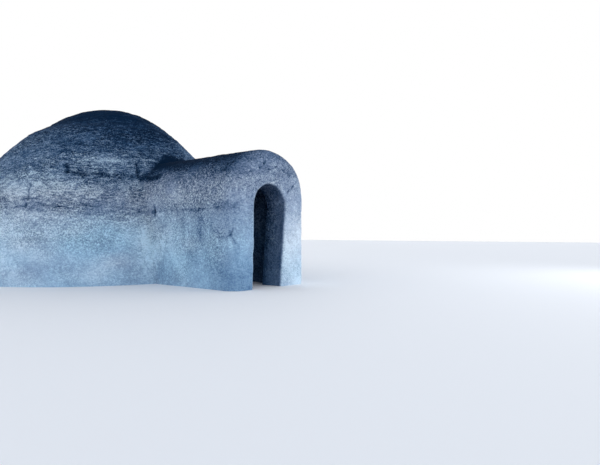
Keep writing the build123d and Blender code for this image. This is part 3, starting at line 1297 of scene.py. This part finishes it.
@dataclass
class Dome:
    """The rings of curved blocks and the crown block."""

    form: SnowForm
    courses: list[Course]
    row: float = 0.016  # height of one row of faces outside
    crown_row: float = 0.024  # the same on the crown block
    inner_row: float = 0.080
    column: float = 0.034  # width of one column of faces
    crown_columns: int = 128
    crowding: float = 0.5  # how much the columns crowd towards the upright joints
    crown_lift: int = 4  # first lift with the crown's finish, counted from 0

    @staticmethod
    def divide(corners: list[Pair], spacing: float) -> list[Pair]:
        """Divide straight runs evenly.

        Args:
            corners: Where the runs meet.
            spacing: Largest distance between points.

        Returns:
            The points, corners among them.
        """
        points = [corners[0]]
        for start, end in zip(corners, corners[1:]):
            run, rise = end[0] - start[0], end[1] - start[1]
            count = max(1, math.ceil(math.hypot(run, rise) / spacing))
            shares = [step / count for step in range(1, count + 1)]
            points += [(start[0] + run * share, start[1] + rise * share) for share in shares]
        return points

    def faces(self, leans: list[float], row: float) -> tuple[list[Pair], list[Pair]]:
        """The outer and the inner face of a lift above the wall, both from the bottom up.

        Args:
            leans: Angles from upright where the straight runs meet.
            row: Height of one row of faces outside.

        Returns:
            Radius and height of the points of each.
        """
        outer = [self.form.face_point(lean) for lean in leans]
        inner = [self.form.face_point(lean, self.form.shell) for lean in leans]
        return self.divide(outer, row), self.divide(inner, self.inner_row)

    def section(self, index: int) -> list[Pair]:
        """Closed section of one lift: up the face, and down the inside.

        Args:
            index: The lift, 0 for the wall.

        Returns:
            Radius and height of each corner.
        """
        form, course = self.form, self.courses[index]
        high = form.lean_at(course.top)
        if index == 0:
            foot = form.foot - form.foot_wall
            outer = self.divide([(form.foot, 0.0), form.face_point(high)], self.row)
            inner = self.divide([(foot, 0.0), form.face_point(high, form.shell)], self.inner_row)
            return outer + inner[::-1]
        low = form.lean_at(course.bottom)
        on_crown = high < form.crown_angle - ANGLE_SLACK
        outer, inner = self.faces([low, (low + high) / 2, high] if on_crown else [low, high], self.row)
        return outer + inner[::-1]

    def place(self, section: list[Pair], azimuth: float) -> list[Triple]:
        """The section stood up at an azimuth in degrees round the dome's axis."""
        sine, cosine = math.sin(math.radians(azimuth)), math.cos(math.radians(azimuth))
        return [(radius * sine, self.form.axis_y - radius * cosine, height) for radius, height in section]

    def spin(self, columns: int, turn: float) -> None:
        """Spin the active section about the dome's axis, and stay in edit mode.

        Args:
            columns: Columns of faces.
            turn: Degrees, towards a smaller azimuth.
        """
        Bench.open_mesh()
        bpy.ops.mesh.spin(steps=columns, angle=math.radians(turn), center=(0.0, self.form.axis_y, 0.0),
                          axis=(0.0, 0.0, 1.0))
        bpy.ops.mesh.select_all(action="SELECT")

    def block(self, name: str, index: int) -> bpy.types.Object:
        """The first block of a lift: its section spun round the dome's axis and closed at both ends.

        Args:
            name: The piece's name.
            index: The lift, 0 for the wall.

        Returns:
            The block on the smooth form.
        """
        course, section = self.courses[index], self.section(index)
        piece = Bench.ring(name, self.place(section, course.start))
        length = math.radians(course.turn) * max(radius for radius, height in section)
        self.spin(math.ceil(length / self.column), -course.turn)
        bpy.ops.mesh.fill_holes(sides=0)
        Bench.close_mesh()
        self.crowd(piece, course)
        return piece

    def crowd(self, piece: bpy.types.Object, course: Course) -> None:
        """Move the columns of faces closer together near the two upright joints.

        Args:
            piece: The first block of a course.
            course: The course.
        """
        points = Bench.read(piece)
        share = ((self.form.azimuth(points) - course.start) % 360.0) / course.turn
        share = np.where(share > 1.5, 0.0, share)  # a point a hair before the first joint is on it
        shift = -self.crowding * np.sin(2.0 * math.pi * share) / (2.0 * math.pi)
        Bench.write(piece, self.form.turned(points, shift * math.radians(course.turn)))

    def copy_round(self, piece: bpy.types.Object, name: str, turn: float) -> bpy.types.Object:
        """A copy of a block with its own mesh, turned about the dome's axis.

        Args:
            piece: The first block.
            name: The copy's name.
            turn: Degrees.

        Returns:
            The copy.
        """
        Bench.take(piece)
        bpy.ops.object.duplicate(linked=False)
        copy = bpy.context.object
        copy.name = copy.data.name = name
        Bench.write(copy, self.form.turned(Bench.read(copy), math.radians(turn)))
        return copy

    def crown(self, name: str) -> bpy.types.Object:
        """The round block that closes the dome, spun right round and closed at its poles.

        Args:
            name: The piece's name.

        Returns:
            The block on the smooth form.
        """
        low = self.form.lean_at(self.courses[-1].top)
        outer, inner = self.faces([low, low / 2, 0.0], self.crown_row)
        piece = Bench.ring(name, self.place(inner[::-1] + outer, 0.0))
        self.spin(self.crown_columns, 360.0)
        bpy.ops.mesh.remove_doubles(threshold=MERGE)
        bpy.ops.mesh.delete_loose(use_verts=True, use_edges=True, use_faces=False)
        bpy.ops.mesh.select_all(action="SELECT")
        Bench.close_mesh()
        return piece

    def build(self, workshop: Workshop) -> None:
        """Model one block of each lift, copy it round, and finish them all.

        Args:
            workshop: Where blocks are finished.
        """
        for index, course in enumerate(self.courses):
            lift = index + 1
            slot = Slot.CROWN if index >= self.crown_lift else Slot.WALL
            blocks = [self.block(f"lift_{lift}_block_1", index)]
            for step in range(1, course.count):
                blocks.append(self.copy_round(blocks[0], f"lift_{lift}_block_{step + 1}", course.turn * step))
            for step, piece in enumerate(blocks):
                workshop.finish(piece, f"dome_lift_{lift}_segment_{step + 1}", "dome_snow", slot)
        workshop.finish(self.crown("key_block"), "crown_block", "dome_snow", Slot.CROWN)


@dataclass
class Entrance:
    """The junction with the dome, the passage and the portal, each piece worked over from its solid."""

    junction: tuple[str, ...] = ("passage_cheek", "passage_shoulder", "dome_saddle")
    front: tuple[str, ...] = ("passage_wall", "passage_vault", "portal_jamb")
    cell: float = 0.0188  # width of one face of the skin
    saddle_cell: float = 0.0194  # one that keeps the rows of faces off the saddle's level edges
    depth: int = 8  # halvings of the space round a piece

    def refine(self, node: str) -> bpy.types.Object:
        """A copy of a node's solid with an even skin that can be carved.

        Args:
            node: The node's name.

        Returns:
            The piece on the smooth form.
        """
        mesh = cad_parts[node].data.copy()
        mesh.name = f"{node}_snow"
        piece = bpy.data.objects.new(mesh.name, mesh)
        bpy.context.scene.collection.objects.link(piece)
        Bench.take(piece)
        Bench.open_mesh()
        bpy.ops.mesh.remove_doubles(threshold=MERGE)
        bpy.ops.object.mode_set(mode="OBJECT")
        skin = piece.modifiers.new("skin", "REMESH")
        skin.mode, skin.octree_depth, skin.sharpness = "SHARP", self.depth, 1.0
        cell = self.saddle_cell if node.startswith("dome_saddle") else self.cell
        skin.scale = max(piece.dimensions) / (cell * 2 ** self.depth)
        skin.use_remove_disconnected = False
        bpy.ops.object.modifier_apply(modifier=skin.name)
        return piece

    def build(self, workshop: Workshop) -> None:
        """Refine and finish every piece of the entrance.

        Args:
            workshop: Where blocks are finished.
        """
        for names, finish in ((self.junction, "dome_snow"), (self.front, "passage_snow")):
            for name, side in itertools.product(names, ("left", "right")):
                slot = Slot.WALL if name == "dome_saddle" else Slot.PASSAGE
                workshop.finish(self.refine(f"{name}_{side}"), f"{name}_{side}", finish, slot)
        workshop.finish(self.refine("portal_head"), "portal_head", "passage_snow", Slot.PASSAGE)


@dataclass
class Studio:
    """Floor, light and camera."""

    eye: Triple = (-6.873, -10.812, 1.0)
    heading: float = -51.0  # degrees from +Y, to the right below 0
    lens: float = 30.0
    sensor: float = 36.0
    rise: float = 0.0025  # shift that puts the horizon where the photo has it
    floor_size: float = 120.0
    floor_colour: Triple = (0.80, 0.83, 0.87)
    floor_roughness: float = 0.9
    lamp_place: Triple = (7.5, -12.5, 2.6)
    lamp_target: Triple = (0.3, -4.5, 1.2)
    lamp_size: float = 4.0
    lamp_power: float = 210.0  # watts
    sky_strength: float = 3.2
    zenith: Triple = (0.12, 0.13, 0.15)
    zenith_height: float = 0.75  # height of the direction at which the sky is that dark

    def build(self) -> None:
        """Put up the floor, the lamp, the sky and the camera."""
        self.floor()
        self.sky()
        self.lamp()
        self.camera()
        bpy.context.scene.view_settings.view_transform = "Standard"

    def floor(self) -> None:
        """A plain pale floor."""
        Bench.clear_selection()
        bpy.ops.mesh.primitive_plane_add(size=self.floor_size, location=(0.0, 0.0, 0.0))
        floor = bpy.context.object
        floor.name = "studio_floor"
        material = bpy.data.materials.new("floor_paper")
        material.use_nodes = True
        shader = material.node_tree.nodes["Principled BSDF"]
        shader.inputs["Base Color"].default_value = (*self.floor_colour, 1.0)
        shader.inputs["Roughness"].default_value = self.floor_roughness
        floor.data.materials.append(material)

    def sky(self) -> None:
        """Soft light that is brighter near the horizon than overhead, and white to the camera."""
        world = bpy.data.worlds.new("soft_light")
        bpy.context.scene.world = world
        world.use_nodes = True
        tree = world.node_tree
        place, split, ramp, rays, white, either, final = (tree.nodes.new(kind) for kind in (
            "ShaderNodeTexCoord", "ShaderNodeSeparateXYZ", "ShaderNodeValToRGB", "ShaderNodeLightPath",
            "ShaderNodeBackground", "ShaderNodeMath", "ShaderNodeMixShader"))
        light, surface = tree.nodes["Background"], tree.nodes["World Output"].inputs["Surface"]
        low, high = ramp.color_ramp.elements
        low.position, low.color = 0.0, (1.0, 1.0, 1.0, 1.0)
        high.position, high.color = self.zenith_height, (*self.zenith, 1.0)
        light.inputs["Strength"].default_value = self.sky_strength
        white.inputs["Color"].default_value = (1.0, 1.0, 1.0, 1.0)
        either.operation = "MAXIMUM"
        for source, target in (
            (place.outputs["Generated"], split.inputs["Vector"]),
            (split.outputs["Z"], ramp.inputs["Fac"]),
            (ramp.outputs["Color"], light.inputs["Color"]),
            (rays.outputs["Is Camera Ray"], either.inputs[0]),
            (rays.outputs["Is Glossy Ray"], either.inputs[1]),
            (either.outputs[0], final.inputs[0]),
            (light.outputs[0], final.inputs[1]),
            (white.outputs[0], final.inputs[2]),
            (final.outputs[0], surface),
        ):
            tree.links.new(source, target)

    def lamp(self) -> None:
        """A soft square lamp in front of the portal, to its right."""
        data = bpy.data.lights.new("key", "AREA")
        data.size, data.energy = self.lamp_size, self.lamp_power
        lamp = bpy.data.objects.new("key", data)
        lamp.location = self.lamp_place
        way = Vector(self.lamp_target) - Vector(self.lamp_place)
        lamp.rotation_euler = way.to_track_quat("-Z", "Y").to_euler()
        bpy.context.scene.collection.objects.link(lamp)

    def camera(self) -> None:
        """The camera at the photo's place and angle."""
        data = bpy.data.cameras.new("camera")
        data.lens, data.sensor_width, data.shift_y = self.lens, self.sensor, self.rise
        camera = bpy.data.objects.new("camera", data)
        camera.location = self.eye
        camera.rotation_euler = (math.radians(90.0), 0.0, math.radians(self.heading))
        bpy.context.scene.collection.objects.link(camera)
        bpy.context.scene.camera = camera


def read_form() -> SnowForm:
    """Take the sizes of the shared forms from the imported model.

    Returns:
        The forms.
    """
    crown_low, crown_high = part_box("crown_block")
    wall_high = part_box("dome_lift_1_segment_4")[1]
    left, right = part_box("passage_wall_left")[0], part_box("passage_wall_right")[1]
    head_low, head_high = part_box("portal_head")
    axis_y = (crown_low.y + crown_high.y) / 2
    return SnowForm(
        axis_y=axis_y, foot=wall_high.y - axis_y, height=crown_high.z, wall_top=wall_high.z,
        passage_x=(left.x + right.x) / 2, passage_half=(right.x - left.x) / 2,
        passage_top=head_high.z, face_y=head_low.y)


def read_courses() -> list[Course]:
    """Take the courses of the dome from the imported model.

    Returns:
        The courses, from the ground up.
    """
    courses, bottom = [], 0.0
    for index, start in enumerate(JOINT_STARTS):
        names = [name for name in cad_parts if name.startswith(f"dome_lift_{index + 1}_")]
        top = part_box(names[0])[1].z
        whole = 360.0 - 2.0 * start if index < JUNCTION_LIFTS else 360.0
        courses.append(Course(bottom, top, start, whole / len(names), len(names)))
        bottom = top
    return courses


def shape_snow(form: SnowForm, courses: list[Course]) -> Relief:
    """Lay out the ledges, notches, cracks and swellings.

    Args:
        form: The smooth forms.
        courses: The courses of the dome.

    Returns:
        The relief of the snow.
    """
    ledges = [
        Ledge(-47.0, -20.0, 2.30, -0.07, 0.060, 0.07),
        Ledge(-17.6, -7.0, 2.27, -0.01, 0.060, 0.07),
        Ledge(-65.0, -55.0, 2.12, 0.0, 0.022, 0.05),
        Ledge(-100.0, -20.0, 2.78, 0.0, 0.012, 0.08),
        Ledge(-110.0, 0.0, 3.30, 0.0, 0.009, 0.08),
        Ledge(-80.0, -24.0, 1.49, -0.05, 0.010, 0.06),
    ]
    scores = [
        # Notches at the ends of the overhanging courses
        Score(form.on_dome(-17.7, 2.23), form.on_dome(-17.2, 2.53), 0.030, 0.036),
        Score(form.on_dome(-46.6, 2.30), form.on_dome(-47.8, 2.46), 0.045, 0.040),
        # The break and the seam over the first bed, along the passage's left wall
        Score((-0.90, -2.19, 1.38), (-0.90, -2.19, 1.53), 0.032, 0.034),
        Score((-0.90, -2.30, 1.44), (-0.90, -3.30, 1.465), 0.012, 0.009),
        Score((-0.90, -3.30, 1.465), (-0.90, -3.74, 1.465), 0.014, 0.013),
        Score((-0.89, -3.98, 1.475), (-0.84, -4.44, 1.475), 0.022, 0.012),
        # The forked crack by the portal's left edge
        Score((-0.84, -4.44, 1.10), (-0.87, -4.40, 0.98), 0.014, 0.018),
        Score((-0.87, -4.40, 0.98), (-0.83, -4.455, 0.86), 0.013, 0.018),
        Score((-0.90, -4.08, 0.92), (-0.87, -4.38, 0.965), 0.014, 0.009),
        # Scratches on the portal's face, beside the doorway and over it
        Score((0.56, -4.53, 1.84), (0.68, -4.53, 1.98), 0.016, 0.036),
        Score((0.53, -4.53, 1.79), (0.56, -4.53, 1.84), 0.015, 0.018),
        Score((-0.27, -4.53, 2.19), (-0.21, -4.53, 2.21), 0.019, 0.032),
        Score((-0.15, -4.53, 2.29), (-0.12, -4.53, 2.34), 0.019, 0.032),
        Score((-0.05, -4.53, 2.18), (-0.01, -4.53, 2.20), 0.019, 0.032),
        Score((0.13, -4.53, 2.26), (0.20, -4.53, 2.28), 0.017, 0.026),
        Score((0.34, -4.53, 2.25), (0.42, -4.53, 2.22), 0.017, 0.022),
        Score((0.50, -4.53, 2.19), (0.56, -4.53, 2.13), 0.017, 0.020),
    ]
    cracks = [
        Crack((-59.4, 2.00), (-57.8, 1.50), 0.015, 0.026),
        Crack((-69.5, 1.70), (-58.0, 1.70), 0.013, 0.016),
        Crack((-69.0, 1.50), (-58.0, 1.54), 0.014, 0.014),
        Crack((-53.0, 1.80), (-45.5, 1.73), 0.012, 0.014),
        Crack((-55.0, 1.58), (-44.0, 1.54), 0.020, 0.018),
        Crack((-45.0, 1.69), (-32.0, 1.69), 0.013, 0.010),
        Crack((-42.0, 1.56), (-27.0, 1.55), 0.018, 0.016),
        Crack((-26.0, 1.53), (-19.0, 1.50), 0.013, 0.014),
        Crack((-20.0, 1.47), (-15.5, 1.40), 0.018, 0.020),
        Crack((-67.0, 2.16), (-54.0, 2.15), 0.014, 0.012),
        Crack((-52.0, 2.96), (-44.0, 2.90), 0.020, 0.016),
    ]
    swellings = [
        Swelling((-1.32, 0.65, 3.67), (1.10, 1.00, 0.24), 0.095),
        Swelling((-2.45, 1.10, 2.64), (1.00, 1.00, 0.12), 0.030),
        Swelling((-2.20, 1.03, 2.98), (0.35, 0.50, 0.16), -0.018),
        Swelling((0.50, -0.35, 3.58), (0.75, 0.75, 0.50), -0.055),
        Swelling((0.85, -4.40, 2.22), (0.45, 0.55, 0.36), -0.035),
        Swelling((-0.10, -0.05, 4.00), (0.80, 0.80, 0.40), -0.045),
    ]
    return Relief(form, courses, ledges, scores, cracks, swellings)


def colour_snow(relief: Relief) -> Colouring:
    """Lay out the paler and darker patches.

    Args:
        relief: The relief of the snow.

    Returns:
        The colouring of the snow.
    """
    on_dome = [  # azimuth and height, half width, half height, tone
        (-66.0, 1.88, 0.52, 0.22, 0.20), (-65.0, 2.20, 0.50, 0.08, 0.08), (-50.0, 1.90, 0.48, 0.15, 0.14),
        (-39.0, 1.84, 0.38, 0.17, 0.16), (-28.5, 2.555, 0.30, 0.045, 0.24), (-36.0, 2.57, 0.62, 0.15, 0.17),
        (-38.0, 3.27, 0.17, 0.025, 0.16), (-9.5, 2.50, 0.40, 0.17, 0.13), (-13.0, 2.60, 0.20, 0.03, 0.14),
        (-72.0, 3.08, 1.10, 0.52, 0.08), (-74.0, 0.65, 0.90, 0.55, 0.07), (-22.0, 0.60, 0.50, 0.50, 0.03),
        (-50.0, 2.93, 0.28, 0.09, -0.14), (-48.0, 1.53, 0.95, 0.09, -0.10), (-20.0, 2.05, 0.30, 0.18, 0.07),
        (-56.0, 2.38, 0.60, 0.15, 0.05), (-53.0, 2.16, 0.40, 0.07, 0.12), (-61.5, 1.99, 0.20, 0.06, -0.10),
        (-46.0, 1.98, 0.32, 0.07, 0.09), (-33.0, 2.98, 0.30, 0.10, 0.06), (-66.0, 1.32, 0.70, 0.20, 0.13),
        (-6.5, 2.71, 0.24, 0.13, 0.10), (0.0, 3.20, 1.20, 0.60, -0.14),
    ]
    on_entrance = [  # place, half width, half height, tone
        # The first, darkest patch is a painted shadow under the overhanging block above the valley
        ((-0.73, -1.88, 2.17), 0.32, 0.07, -0.34), ((-0.75, -3.03, 2.14), 0.09, 0.02, 0.22),
        ((-0.72, -2.02, 2.20), 0.15, 0.07, -0.18), ((-0.51, -1.67, 2.42), 0.18, 0.13, 0.20),
        ((-0.50, -2.60, 2.40), 0.60, 0.12, -0.09), ((-0.66, -4.36, 2.21), 0.30, 0.22, -0.18),
        ((-0.90, -2.85, 0.85), 0.48, 0.50, 0.13), ((-0.90, -2.80, 1.74), 0.45, 0.13, 0.09),
        ((-0.84, -4.45, 0.72), 0.10, 0.20, -0.06), ((-0.90, -4.25, 1.03), 0.20, 0.24, -0.08),
        ((-0.90, -2.18, 1.46), 0.08, 0.07, -0.22), ((-0.94, -2.22, 0.85), 0.26, 0.55, 0.16),
        ((-0.90, -3.55, 1.46), 0.26, 0.035, -0.08), ((-0.89, -4.18, 1.51), 0.27, 0.080, -0.16),
        ((-0.90, -3.66, 1.08), 0.11, 0.22, -0.12), ((-0.90, -3.95, 1.12), 0.09, 0.12, -0.08),
        ((-0.90, -3.12, 1.12), 0.07, 0.26, -0.08), ((-0.87, -4.39, 1.00), 0.05, 0.08, -0.14),
        ((-0.90, -4.22, 0.94), 0.10, 0.035, -0.08), ((-0.88, -4.30, 1.20), 0.05, 0.10, -0.10),
        ((-0.87, -4.40, 0.80), 0.05, 0.10, 0.14), ((-0.14, -4.53, 2.25), 0.20, 0.07, -0.12),
    ]
    marks = [Patch(relief.form.on_dome(azimuth, height), *rest) for azimuth, height, *rest in on_dome]
    return Colouring(relief, marks + [Patch(*row) for row in on_entrance])


def main() -> None:
    """Build the snow house and its studio."""
    form, courses = read_form(), read_courses()
    log.info("form %s", form)
    log.info("courses %s", courses)
    relief = shape_snow(form, courses)
    finishes = [SnowFinish("dome_snow"), SnowFinish("passage_snow")]
    materials = {finish.name: finish.material() for finish in finishes}
    workshop = Workshop(relief, colour_snow(relief), materials)
    Dome(form, courses).build(workshop)
    Entrance().build(workshop)
    Studio().build()
    log.info("%d pieces", len(workshop.made))


if __name__ == "__main__":
    logging.basicConfig(level=logging.INFO, format="%(message)s")
    main()
